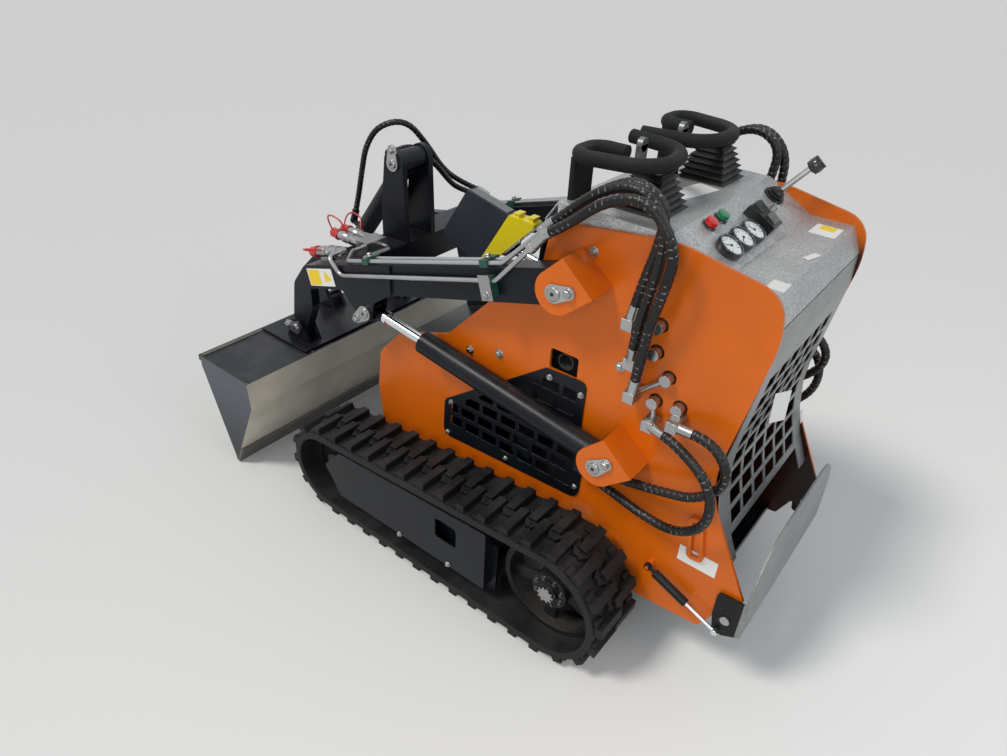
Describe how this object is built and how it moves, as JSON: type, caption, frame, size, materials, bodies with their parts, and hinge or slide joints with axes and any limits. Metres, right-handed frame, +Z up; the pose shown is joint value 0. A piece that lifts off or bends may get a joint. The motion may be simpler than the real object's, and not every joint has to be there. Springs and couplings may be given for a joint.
{
  "type": "compact tracked skid steer loader",
  "caption": "Walk-behind tracked skid steer loader: steel body, two rubber tracks, lift arms, tilting bucket and a fold-down rear platform for its operator.",
  "frame": {"origin": "on the floor under the centre of the whole loader's bounding box", "axes": "+X forward to the bucket, +Y to the machine's left, +Z up"},
  "size_m": [1.81, 1.06, 1.256],
  "materials": {
    "orange_paint": "glossy orange enamel, dusty",
    "black_paint": "satin black enamel, dusty",
    "galvanised": "grey hammered metallic coat",
    "track_rubber": "worn black rubber with dust",
    "chrome": "polished chrome",
    "zinc_plate": "zinc plate",
    "foam_grip": "black foam",
    "boot_rubber": "ribbed black rubber",
    "gauge_face": "black bezels with pale dials",
    "motor_iron": "dark cast metal",
    "wheel_black": "black painted wheels, dusty",
    "hose_rubber": "black hose with a spiral wrap",
    "clamp_green": "dark green plastic",
    "case_yellow": "bright yellow plastic",
    "case_black": "grained black plastic"
  },
  "bodies": {
    "chassis": {"side_plate_left": "orange_paint", "side_plate_right": "orange_paint", "side_guard_left": "black_paint", "side_guard_right": "black_paint", "pivot_brackets": "orange_paint", "pivot_pins": "zinc_plate", "front_cover": "black_paint", "belly_frame": "black_paint", "engine": "motor_iron", "console": "galvanised", "rear_panel": "galvanised", "gauge_cluster": "gauge_face", "drive_handle_left": "foam_grip", "drive_handle_right": "foam_grip", "lever_boots": "boot_rubber", "track_belt_left": "track_rubber", "track_belt_right": "track_rubber", "drive_sprocket_left": "wheel_black", "drive_sprocket_right": "wheel_black", "drive_motors": "motor_iron", "track_frame_left": "black_paint", "track_frame_right": "black_paint", "track_wheels_left": "wheel_black", "track_wheels_right": "wheel_black", "track_cover_left": "black_paint", "track_cover_right": "black_paint", "platform_bolts": "zinc_plate", "valve_blocks": "black_paint", "port_fittings": "zinc_plate", "tool_case": "case_black", "case_lid": "case_yellow", "case_bracket": "black_paint", "arm_hoses": "hose_rubber", "lift_hoses": "hose_rubber"},
    "loader_arms": {"loader_arm_left": "black_paint", "loader_arm_right": "black_paint", "crossmember": "black_paint", "coupler_legs": "black_paint", "arm_pins": "zinc_plate", "arm_tubes": "zinc_plate", "tube_clamps": "clamp_green", "quick_couplers": "zinc_plate", "tilt_hoses": "hose_rubber"},
    "bucket_coupler": {"coupler": "black_paint", "coupler_pins": "zinc_plate", "bucket": "black_paint", "cutting_edge": "black_paint"},
    "lift_barrel_left": {"lift_barrel_left": "black_paint"},
    "lift_rod_left": {"lift_rod_left": "chrome"},
    "lift_barrel_right": {"lift_barrel_right": "black_paint"},
    "lift_rod_right": {"lift_rod_right": "chrome"},
    "tilt_barrel": {"tilt_barrel": "black_paint"},
    "tilt_rod": {"tilt_rod": "chrome"},
    "platform": {"platform": "galvanised"},
    "strut_tube_left": {"strut_tube_left": "black_paint"},
    "strut_rod_left": {"strut_rod_left": "chrome"},
    "strut_tube_right": {"strut_tube_right": "black_paint"},
    "strut_rod_right": {"strut_rod_right": "chrome"}
  },
  "joints": [
    {"name": "lift", "type": "hinge", "parent": "chassis", "child": "loader_arms", "pos_m": [-0.342, 0, 0.978], "axis": [0, -1, 0], "range_deg": [0, 66], "deforming": ["arm_hoses", "lift_hoses"]},
    {"name": "tilt", "type": "hinge", "parent": "loader_arms", "child": "bucket_coupler", "pos_m": [0.747, 0, 0.432], "axis": [0, -1, 0], "range_deg": [0, 92]},
    {"name": "platform_fold", "type": "hinge", "parent": "chassis", "child": "platform", "pos_m": [-0.862, 0, 0.262], "axis": [0, -1, 0], "range_deg": [0, 88]},
    {"name": "lift_barrel_left_swing", "type": "hinge", "parent": "chassis", "child": "lift_barrel_left", "pos_m": [-0.497, 0.312, 0.58], "axis": [0, -1, 0], "range_deg": [0, 43.66]},
    {"name": "lift_rod_left_slide", "type": "slide", "parent": "lift_barrel_left", "child": "lift_rod_left", "axis": [0.9893, 0, 0.1457], "range_m": [0, 0.2956]},
    {"name": "lift_barrel_right_swing", "type": "hinge", "parent": "chassis", "child": "lift_barrel_right", "pos_m": [-0.497, -0.312, 0.58], "axis": [0, -1, 0], "range_deg": [0, 43.66]},
    {"name": "lift_rod_right_slide", "type": "slide", "parent": "lift_barrel_right", "child": "lift_rod_right", "axis": [0.9893, 0, 0.1457], "range_m": [0, 0.2956]},
    {"name": "tilt_barrel_swing", "type": "hinge", "parent": "loader_arms", "child": "tilt_barrel", "pos_m": [0.44, 0, 1.02], "axis": [0, -1, 0], "range_deg": [-2.25, 0], "deforming": ["tilt_hoses"]},
    {"name": "tilt_rod_slide", "type": "slide", "parent": "tilt_barrel", "child": "tilt_rod", "axis": [0.6042, 0, -0.7968], "range_m": [-0.17859, 0]},
    {"name": "strut_left_swing", "type": "hinge", "parent": "chassis", "child": "strut_tube_left", "pos_m": [-0.651, 0.292, 0.306], "axis": [0, -1, 0], "range_deg": [-12.62, 0]},
    {"name": "strut_rod_left_slide", "type": "slide", "parent": "strut_tube_left", "child": "strut_rod_left", "axis": [-0.9172, 0, -0.3984], "range_m": [-0.0443, 0]},
    {"name": "strut_right_swing", "type": "hinge", "parent": "chassis", "child": "strut_tube_right", "pos_m": [-0.651, -0.292, 0.306], "axis": [0, -1, 0], "range_deg": [-12.62, 0]},
    {"name": "strut_rod_right_slide", "type": "slide", "parent": "strut_tube_right", "child": "strut_rod_right", "axis": [-0.9172, 0, -0.3984], "range_m": [-0.0443, 0]}
  ],
  "couplings": [
    {"joint": "lift_barrel_left_swing", "follows": "lift", "ratio": 0.66076},
    {"joint": "lift_rod_left_slide", "follows": "lift", "m_per_rad": 0.25653},
    {"joint": "lift_barrel_right_swing", "follows": "lift", "ratio": 0.66076},
    {"joint": "lift_rod_right_slide", "follows": "lift", "m_per_rad": 0.25653},
    {"joint": "tilt_barrel_swing", "follows": "tilt", "ratio": -0.02391},
    {"joint": "tilt_rod_slide", "follows": "tilt", "m_per_rad": -0.11116},
    {"joint": "strut_left_swing", "follows": "platform_fold", "ratio": -0.14288},
    {"joint": "strut_rod_left_slide", "follows": "platform_fold", "m_per_rad": -0.02878},
    {"joint": "strut_right_swing", "follows": "platform_fold", "ratio": -0.14288},
    {"joint": "strut_rod_right_slide", "follows": "platform_fold", "m_per_rad": -0.02878}
  ]
}
